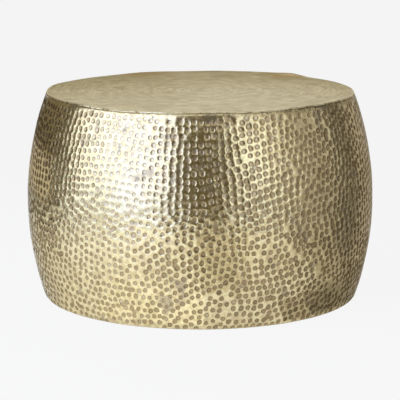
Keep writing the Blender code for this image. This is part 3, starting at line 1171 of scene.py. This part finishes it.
    def _relax(self, places: np.ndarray, rounds: int) -> np.ndarray:
        """Push crowded marks apart.

        Args:
            places: Angle and drop of each mark.
            rounds: How many times.

        Returns:
            The moved places.
        """
        limit = self.step_limit * self.pitch
        for _ in range(rounds):
            _, around, down = MarkMap(self.profile, places).nearest(places, 8)
            gap = np.maximum(np.hypot(around, down), NO_GAP)
            push = np.clip(self.wanted_gap * self.pitch / gap - 1.0, 0.0, self.push_limit)
            push = np.where(gap > 10 * NO_GAP, push, 0.0)
            step = -np.stack([(around * push).sum(axis=1), (down * push).sum(axis=1)], axis=-1)
            step = np.clip(step * self.push_share, -limit, limit)
            angle = (places[:, 0] + step[:, 0] / self.profile.radius(places[:, 1])) % TURN
            first, last = self._limits(angle)
            places = np.stack([angle, np.clip(places[:, 1] + step[:, 1], first, last)], axis=-1)
        return places


def make_piece(
    name: str, points: np.ndarray, faces: list[list[int]], material: bpy.types.Material
) -> bpy.types.Object:
    """Make a smooth-shaded mesh object in the table's frame.

    Args:
        name: Name of the piece.
        points: One row of x, y and z for each point.
        faces: Point numbers of each face.
        material: Its finish.

    Returns:
        The new object, linked to the scene.
    """
    mesh = bpy.data.meshes.new(name)
    mesh.from_pydata(points.tolist(), [], faces)
    mesh.shade_smooth()
    mesh.materials.append(material)
    piece = bpy.data.objects.new(name, mesh)
    bpy.context.scene.collection.objects.link(piece)
    return piece


def set_values(piece: bpy.types.Object, name: str, values: np.ndarray) -> None:
    """Store one value for each point of a mesh.

    Args:
        piece: The mesh object.
        name: Name of the values, as a material reads them.
        values: One value for each point.
    """
    store = piece.data.attributes.new(name, "FLOAT", "POINT")
    store.data.foreach_set("value", np.ascontiguousarray(values, dtype=np.float32))


def bands(rows: Sequence[np.ndarray]) -> list[list[int]]:
    """Quads between closed rows of points that run the same way round, from each row to the next.

    Args:
        rows: Point numbers of each row.

    Returns:
        The quads' point numbers.
    """
    faces = []
    for upper, lower in zip(rows, rows[1:]):
        faces += np.stack([upper, lower, np.roll(lower, -1), np.roll(upper, -1)], axis=-1).tolist()
    return faces


def triangulate(spots: np.ndarray) -> np.ndarray:
    """Fill the outline of flat points.

    Args:
        spots: Two coordinates of each point.

    Returns:
        Point numbers of each triangle.
    """
    found = delaunay_2d_cdt([Vector(spot) for spot in spots], [], [], 0, 1e-9, True)
    source = np.array([origin[0] for origin in found[3]])
    return source[np.array(found[2])]


@dataclass
class HammeredWall:
    """The barrel sheet: hammered outer face, plain inner face, turned-in foot."""

    profile: BarrelProfile
    work: HammerWork
    finish: HammeredBrass
    nicks: RimNicks
    columns: int = 960
    edge_drop: float = 0.00025
    rim_row: float = 0.0032
    rim_clear: float = 0.0045
    lip_rows: tuple[float, ...] = (0.0007, 0.0014, 0.0021, 0.0028)
    lip_clear: float = 0.0034
    slope_rows: tuple[float, ...] = (0.0015, 0.0030, 0.0045, 0.0060, 0.0075)
    back_start: float = 0.006
    back_rows: int = 44
    bend_rows: int = 6
    edge_bevel: float = 0.0004
    top_edge: tuple[Spot, ...] = ((0.0, 0.0003), (0.0, 0.0016))
    top_bevel: float = 0.0009
    rings: tuple[tuple[float, int], ...] = ((0.44, 6), (0.66, 10), (0.86, 12), (1.06, 12))
    ring_seed: int = 4
    ring_room: float = 0.985
    least_face: float = 0.05
    unevenness: HandField = HandField(21, (4, 22), (0.07, 0.30), 0.00016)
    ripple: HandField = HandField(22, (35, 120), (0.018, 0.06), 0.00006)
    even_start: float = 0.004
    even_reach: float = 0.02
    fade_start: float = 0.002
    fade_reach: float = 0.007
    nick_depth: float = 0.0011
    nick_reach: float = 0.0050
    # Painted shade: a dark band on the underside of the foot's lip, carried in the mark values
    foot_shade: float = 0.6
    foot_shade_start: float = 0.0026
    foot_shade_reach: float = 0.0014
    back_patina: float = 0.55
    seam_lap: float = 0.09

    def build(self) -> bpy.types.Object:
        """Build the sheet as one closed mesh.

        Returns:
            The piece, riding on the table.
        """
        marks = self.work.strike()
        LOG.info("hammer marks: %d", len(marks.places))
        places = self._outer_places(marks)
        angle, drop = places[:, 0], places[:, 1]
        height, inside, tone = marks.relief(places)
        fade = 1.0 - ease((drop - self.profile.bend_start - self.fade_start) / self.fade_reach)
        even = ease((drop - self.even_start) / self.even_reach)
        wobble = self.unevenness.at(angle, drop) + self.ripple.at(angle, drop)
        nick = np.zeros(len(places))
        rim = drop < self.nick_reach
        nick[rim] = self.nicks.at(angle[rim]) * (1.0 - drop[rim] / self.nick_reach)
        out = (height + wobble * even) * fade - self.nick_depth * nick
        # Painted shade: the underside of the foot's lip is darkened where the table meets the floor
        foot_shade = self.foot_shade * ease((drop - self.profile.bend_end + self.foot_shade_start) / self.foot_shade_reach)
        dark = np.maximum(np.maximum(inside * fade, nick), foot_shade)
        outer = self.profile.point(angle, drop, out)
        back, back_faces = self._back(len(outer))
        faces = self._triangles(places) + back_faces
        piece = make_piece("hammered_wall", np.concatenate([outer, back]), faces, self.finish.material())
        plain = np.full(len(back), self.back_patina)
        set_values(piece, "mark", np.concatenate([dark, plain]))
        set_values(piece, "tone", np.concatenate([tone, plain]))
        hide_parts("drum_wall")
        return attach(piece, BODY)

    def _edge(self, drop: float) -> np.ndarray:
        """One level row of points round the wall."""
        return np.stack([even_angles(self.columns), np.full(self.columns, drop)], axis=-1)

    def _outer_places(self, marks: Marks) -> np.ndarray:
        """Places of all points of the outer face: both edges first, then other level rows, then the marks.

        Args:
            marks: The hammer marks.

        Returns:
            Angle and drop of each point.
        """
        end = self.profile.bend_end
        drops = (self.edge_drop, end, self.rim_row, *(end - step for step in self.lip_rows))
        rows = [self._edge(drop) for drop in drops]
        found, around, down = marks.nearest(marks.places, 9)
        gap = np.maximum(np.hypot(around, down), NO_GAP)[:, 1:]
        around, down = around[:, 1:] / gap, down[:, 1:] / gap
        radius = marks.radii[:, None]
        line = (gap**2 + radius**2 - marks.radii[found[:, 1:]] ** 2) / (2 * gap)
        scale = self.profile.radius(marks.places[:, 1])[:, None]
        spin = np.random.default_rng(self.ring_seed).uniform(0, TURN, (len(marks.places), 1))
        rows.append(marks.places)
        for number, (share, count) in enumerate(self.rings):
            bearing = spin + TURN * (np.arange(count)[None, :] + 0.5 * number) / count
            cos, sin = np.cos(bearing), np.sin(bearing)
            face = around[:, None, :] * cos[:, :, None] + down[:, None, :] * sin[:, :, None]
            room = line[:, None, :] / np.maximum(face, self.least_face)
            room = np.where(face > self.least_face, room, 1.0).min(axis=2)
            border = marks.border(np.arange(len(spin))[:, None], bearing)
            reach = np.minimum(share * border, self.ring_room * share / self.rings[-1][0] * room)
            angle = marks.places[:, :1] + reach * cos / scale
            rows.append(np.stack([angle.ravel(), (marks.places[:, 1:] + reach * sin).ravel()], axis=-1))
        places = np.concatenate(rows)
        places[:, 0] %= TURN
        keep = (places[:, 1] > self.rim_clear) & (places[:, 1] < end - self.lip_clear)
        keep[: len(drops) * self.columns] = True
        return places[keep]

    def _triangles(self, places: np.ndarray) -> list[list[int]]:
        """Triangulate the unrolled outer face, with a lap at the seam so that it closes.

        Args:
            places: Angle and drop of each point.

        Returns:
            Point numbers of each triangle, facing outwards.
        """
        left, right = places[:, 0] > TURN - self.seam_lap, places[:, 0] < self.seam_lap
        number = np.concatenate([np.arange(len(places)), np.flatnonzero(left), np.flatnonzero(right)])
        flat = np.concatenate([places, places[left] - [TURN, 0], places[right] + [TURN, 0]])
        triangles = triangulate(flat * [self.profile.belly_radius, 1.0])
        middle = flat[triangles, 0].mean(axis=1)
        triangles = triangles[(middle >= 0.0) & (middle < TURN)]
        return number[triangles][:, ::-1].tolist()

    def _back(self, first: int) -> tuple[np.ndarray, list[list[int]]]:
        """Upper edge, inner face and flange, row by row from the top edge to the foot.

        Args:
            first: Number of the first new point.

        Returns:
            The new points, and quads that join them to both edges of the outer face.
        """
        thick, bevel = self.profile.thickness, self.edge_bevel
        start, bend, end = self.profile.bend_start, self.profile.bend_end, self.profile.path_end
        slope = [bend + step for step in self.slope_rows]
        inner = [*np.linspace(self.back_start, start, self.back_rows)]
        inner += [*np.linspace(start, bend, self.bend_rows + 1)[1:], *slope]
        path = [*self.top_edge, *((drop, thick) for drop in (self.top_bevel, *inner))]
        path += [(end - bevel, thick), (end, thick - bevel), (end, bevel), (end - bevel, 0.0)]
        path += [(drop, 0.0) for drop in reversed(slope)]
        points = [self.profile.point(*self._edge(drop).T, -inset) for drop, inset in path]
        row = np.arange(self.columns)
        numbers = [row, *(first + self.columns * step + row for step in range(len(path))), self.columns + row]
        return np.concatenate(points), bands(numbers[::-1])


@dataclass
class SatinTop:
    """The smooth top sheet, flat over the board, with a rounded and hand-dressed edge."""

    finish: SatinBrass
    wave: RimWave
    nicks: RimNicks
    burrs: HandField = HandField(31, (70, 170), (1.0, 2.0), 0.00030)
    nick_depth: float = 0.0012
    nick_fall: float = 0.4
    rough_side: float = 315.0
    rough_spread: float = 32.0
    least_rough: float = 0.45
    height: float = 0.390
    underside: float = 0.38675
    edge_radius: float = 0.2919
    edge_rounding: float = 0.0022
    edge_steps: int = 6
    under_inset: float = 0.0002
    wave_reach: float = 0.026
    wave_full: float = 0.2900
    wave_rows: int = 7
    columns: int = 768
    grid: float = 0.011

    def build(self) -> bpy.types.Object:
        """Build the sheet as one closed mesh.

        Returns:
            The piece, riding on the table.
        """
        rounding = self.edge_rounding
        crown = self.edge_radius - rounding
        radii = list(np.linspace(self.edge_radius - self.wave_reach, crown, self.wave_rows))
        rows = [(radius, self.height) for radius in radii]
        for turn in np.linspace(0, math.pi / 2, self.edge_steps + 1)[1:]:
            rows.append((crown + rounding * math.sin(turn), self.height - rounding * (1 - math.cos(turn))))
        rows += [(radius, self.underside) for radius in (self.edge_radius - self.under_inset, *radii[::-1])]
        angle = even_angles(self.columns)
        points = [self._row(angle, radius, height) for radius, height in rows]
        numbers = [self.columns * step + np.arange(self.columns) for step in range(len(rows))]
        middle, middle_faces = self._middle(points[0], self.columns * len(rows))
        faces = bands(numbers) + [numbers[-1][::-1].tolist()] + middle_faces
        piece = make_piece("satin_top", np.concatenate([*points, middle]), faces, self.finish.material())
        rough = self._roughness(angle)
        worn = [self._edge_share(radius) * rough for radius, _ in rows]
        set_values(piece, "mark", np.concatenate([*worn, np.zeros(len(middle))]))
        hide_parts("top_sheet")
        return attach(piece, BODY)

    def _edge_share(self, radius: float) -> float:
        """How far a ring is out on the rounded edge, from 0 to 1."""
        return float(ease(np.array((radius - self.edge_radius) / self.edge_rounding + 1.0)))

    def _roughness(self, angle: np.ndarray) -> np.ndarray:
        """How rough the dressing left the edge, from 0 to 1: nicks, stronger on one stretch of it."""
        stretch = bell(degrees_from(self.rough_side, angle), self.rough_spread)
        return self.nicks.at(angle) * (self.least_rough + (1.0 - self.least_rough) * stretch)

    def _row(self, angle: np.ndarray, radius: float, height: float) -> np.ndarray:
        """One ring of points, lifted by the rim's wave near the edge and roughened on the edge.

        Args:
            angle: Angles round the table, in radians.
            radius: Radius of the ring.
            height: Height of the ring, without the wave.

        Returns:
            One row of x, y and z for each point.
        """
        start = self.edge_radius - self.wave_reach
        lift = self.wave.lift(angle) * ease(np.array((radius - start) / (self.wave_full - start)))
        burr = np.abs(self.burrs.at(angle, 0.0 * angle))
        bite = self._edge_share(radius) * (self.nick_depth * self._roughness(angle) + burr)
        reach = radius - bite
        height = height + lift - self.nick_fall * bite
        return np.stack([reach * np.cos(angle), reach * np.sin(angle), height], axis=-1)

    def _middle(self, ring: np.ndarray, first: int) -> tuple[np.ndarray, list[list[int]]]:
        """Triangulated flat middle, inside the first ring.

        Args:
            ring: Points of the ring round it.
            first: Number of the first new point.

        Returns:
            The new points and the triangles.
        """
        reach = self.edge_radius - self.wave_reach - 0.6 * self.grid
        steps = int(reach / self.grid) + 2
        column, row = np.meshgrid(np.arange(-steps, steps + 1), np.arange(-steps, steps + 1))
        across = (column + 0.5 * (row % 2)) * self.grid
        along = row * self.grid * math.sqrt(0.75)
        inside = np.hypot(across, along) < reach
        middle = np.stack([across[inside], along[inside], np.full(inside.sum(), self.height)], axis=-1)
        number = np.concatenate([np.arange(len(ring)), first + np.arange(len(middle))])
        return middle, number[triangulate(np.concatenate([ring, middle])[:, :2])].tolist()


class Fitting(Enum):
    """Families of packed fittings that keep their solids, by the start of their names."""

    BOARD = "top_board"
    BRACKET = "board_bracket"
    SCREW = "board_screw"
    GLIDE = "glide"
    HOOP = "base_hoop"


@dataclass
class Fittings:
    """The fittings inside the drum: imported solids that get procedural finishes."""

    finishes: Mapping[Fitting, Finish]

    def dress(self) -> list[bpy.types.Object]:
        """Give every packed fitting its finish, as one material for all that wear it.

        Returns:
            The dressed objects.
        """
        materials = {finish: finish.material() for finish in dict.fromkeys(self.finishes.values())}
        dressed = []
        for name, node in sorted(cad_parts.items()):
            for family, finish in self.finishes.items():
                if name.startswith(family.value):
                    node.data.materials.clear()
                    node.data.materials.append(materials[finish])
                    dressed.append(node)
        return dressed


def bearing_place(bearing: float, distance: float, height: float) -> Vector:
    """Place at a bearing from the table, counted in degrees to the right of the camera."""
    turn = math.radians(bearing)
    return Vector((distance * math.sin(turn), -distance * math.cos(turn), height))


@dataclass(frozen=True)
class Softbox:
    """A soft rectangular lamp that faces the table."""

    name: str
    bearing: float
    distance: float
    height: float
    aim_height: float
    size: tuple[float, float]
    radiance: float
    mirrored: bool
    tint: Colour

    def build(self) -> bpy.types.Object:
        """Hang the lamp.

        Returns:
            The lamp object.
        """
        light = bpy.data.lights.new(self.name, "AREA")
        light.shape = "RECTANGLE"
        light.size, light.size_y = self.size
        light.energy = self.radiance * math.pi * self.size[0] * self.size[1]
        light.color = self.tint
        lamp = bpy.data.objects.new(self.name, light)
        lamp.location = bearing_place(self.bearing, self.distance, self.height)
        aim = Vector((0.0, 0.0, self.aim_height)) - lamp.location
        lamp.rotation_euler = aim.to_track_quat("-Z", "Y").to_euler()
        lamp.visible_camera = False
        lamp.visible_glossy = self.mirrored
        bpy.context.scene.collection.objects.link(lamp)
        return lamp


@dataclass(frozen=True)
class Card:
    """A card, dark or pale, that only the metal's reflections show."""

    name: str
    bearings: tuple[float, float]
    heights: tuple[float, float]
    distances: tuple[float, float]
    level: float
    tint: Colour
    steps: int = 12

    def build(self) -> bpy.types.Object:
        """Set up the card as a curved sheet between two heights and two distances from the table.

        Returns:
            The card.
        """
        bearings = np.linspace(*self.bearings, self.steps + 1)
        edges = tuple(zip(self.distances, self.heights))
        points = [bearing_place(bearing, *edge) for edge in edges for bearing in bearings]
        faces = [[step, step + 1, step + self.steps + 2, step + self.steps + 1] for step in range(self.steps)]
        paint = CardPaint(f"{self.name}_paint", self.level, self.tint)
        card = make_piece(self.name, np.array(points), faces, paint.material())
        card.visible_camera = False
        card.visible_diffuse = False
        card.visible_shadow = False
        return card


@dataclass
class Studio:
    """Pale floor, pale surroundings, soft lamps and cards for the metal to mirror."""

    floor_finish: StudioFloor
    lamps: Sequence[Softbox]
    cards: Sequence[Card]
    floor_reach: float = 60.0
    ambient: float = 0.18

    def build(self) -> None:
        """Set up the studio."""
        corners = [(x, y, 0.0) for x, y in ((-1, -1), (1, -1), (1, 1), (-1, 1))]
        floor = make_piece(
            "studio_floor", np.array(corners) * self.floor_reach, [[0, 1, 2, 3]], self.floor_finish.material()
        )
        for item in (*self.lamps, *self.cards):
            item.build()
        self._surround()

    def _surround(self) -> None:
        """Pale world behind everything, dimmer as a light."""
        world = bpy.data.worlds.new("studio_surround")
        world.use_nodes = True
        bench = NodeBench(world.node_tree)
        light = bench.add("ShaderNodeBackground", None, {"Color": opaque((self.ambient,) * 3)})
        view = bench.add("ShaderNodeBackground", None, {"Color": opaque((PALE,) * 3)})
        camera, mirrored = bench.seen()
        shader = bench.add("ShaderNodeMixShader", None, {0: camera | mirrored, 1: light, 2: view})
        bench.add("ShaderNodeOutputWorld", None, {"Surface": shader})
        bpy.context.scene.world = world


@dataclass(frozen=True)
class PictureCamera:
    """Camera at the photograph's angle."""

    elevation: float = 10.98
    distance: float = 3.43
    middle: float = 0.195
    aim: tuple[float, float, float] = (-0.0003, 0.0, 0.1763)
    lens: float = 160.56

    def build(self) -> bpy.types.Object:
        """Set up the camera and make it the scene's.

        Returns:
            The camera object.
        """
        rise = math.radians(self.elevation)
        data = bpy.data.cameras.new("picture_camera")
        data.lens = self.lens
        data.clip_end = 200.0
        camera = bpy.data.objects.new("picture_camera", data)
        camera.location = (
            0.0,
            -self.distance * math.cos(rise),
            self.middle + self.distance * math.sin(rise),
        )
        look = Vector(self.aim) - camera.location
        camera.rotation_euler = look.to_track_quat("-Z", "Y").to_euler()
        bpy.context.scene.collection.objects.link(camera)
        bpy.context.scene.camera = camera
        return camera


LAMPS = (
    Softbox("key_softbox", -35.2, 1.7, 0.95, 0.95, (1.12, 1.85), 2.26, True, (0.45, 0.565, 1.0)),
    Softbox("side_softbox", -70.6, 1.75, 0.82, 0.82, (1.05, 1.6), 1.80, True, (0.56, 0.68, 1.0)),
    Softbox("fill_softbox", 32.5, 1.9, 0.86, 0.86, (0.86, 1.68), 0.92, True, (0.60, 0.735, 1.0)),
    Softbox("top_softbox", 0.0, 0.25, 2.1, 0.0, (1.5, 1.5), 0.42, True, (0.75, 0.86, 1.0)),
    Softbox("floor_softbox", -33.0, 1.2, 0.9, 0.0, (0.6, 0.6), 14.6, False, (0.91, 0.95, 1.0)),
    Softbox("floor_fill", 31.0, 1.40, 0.8, 0.0, (0.5, 0.5), 13.4, False, (1.0, 0.955, 0.86)),
    Softbox("floor_side", -112.0, 0.95, 0.8, 0.0, (0.5, 0.5), 7.9, False, (0.88, 0.94, 1.0)),
)
CREAM = (1.0, 0.96, 0.90)
TAN = (1.0, 0.89, 0.66)
GOLD = (1.0, 0.80, 0.36)
DULL = (1.0, 0.965, 0.96)
CARDS = (
    Card("front_flag", (-16.0, 19.6), (0.0, 1.3), (1.5, 1.5), 0.155, (1.0, 0.82, 0.46)),
    Card("floor_card", (-2.0, 21.0), (0.004, 0.004), (0.42, 1.22), 0.78, (1.0, 0.945, 0.86)),
    Card("grey_flag", (58.0, 84.0), (0.0, 1.6), (1.4, 1.4), 0.53, DULL),
    Card("right_flag", (76.0, 125.0), (0.0, 1.2), (0.58, 0.58), 0.24, DULL),
    Card("right_card", (72.0, 140.0), (0.004, 0.004), (0.31, 1.10), 0.46, DULL),
    Card("half_card", (54.0, 72.0), (0.004, 0.004), (0.40, 1.10), 0.58, CREAM),
    Card("foot_card", (44.0, 72.0), (0.003, 0.003), (0.305, 0.40), 0.34, CREAM),
    Card("foot_strip", (31.0, 44.0), (0.003, 0.003), (0.305, 0.38), 0.58, CREAM),
    Card("foot_glow", (-40.0, 1.0), (0.003, 0.003), (0.31, 0.46), 1.40, (0.96, 0.97, 1.0)),
    Card("right_limb", (86.0, 118.0), (0.0, 0.60), (0.45, 0.45), 0.62, DULL),
    Card("left_flag", (-130.0, -88.0), (0.0, 1.6), (1.3, 1.3), 0.15, TAN),
    Card("left_limb", (-116.0, -78.0), (0.29, 0.60), (0.45, 0.45), 0.28, TAN),
    Card("left_card", (-120.0, -78.0), (0.18, 0.29), (0.45, 0.45), 0.82, CREAM),
    Card("back_flag", (132.0, 188.0), (0.408, 0.480), (0.45, 0.45), 0.28, GOLD),
    Card("back_card", (188.0, 232.0), (0.408, 0.500), (0.45, 0.45), 0.28, GOLD),
)


def main() -> None:
    """Build the camera, the studio and the table's pieces."""
    logging.basicConfig(level=logging.INFO, format="%(message)s")
    bpy.context.scene.view_settings.view_transform = "Standard"
    PictureCamera().build()
    Studio(StudioFloor(), LAMPS, CARDS).build()
    profile, nicks = BarrelProfile(), RimNicks()
    wall = HammeredWall(profile, HammerWork(profile), HammeredBrass(), nicks).build()
    top = SatinTop(SatinBrass(), profile.wave, nicks).build()
    for piece in (wall, top):
        LOG.info("%s: %d points", piece.name, len(piece.data.vertices))
    zinc = ZincPlate()
    finishes = {
        Fitting.BOARD: RawFibreboard(),
        Fitting.BRACKET: zinc,
        Fitting.SCREW: zinc,
        Fitting.HOOP: zinc,
        Fitting.GLIDE: BlackNylon(),
    }
    for piece in Fittings(finishes).dress():
        LOG.info("%s: dressed", piece.name)


if __name__ == "__main__":
    main()
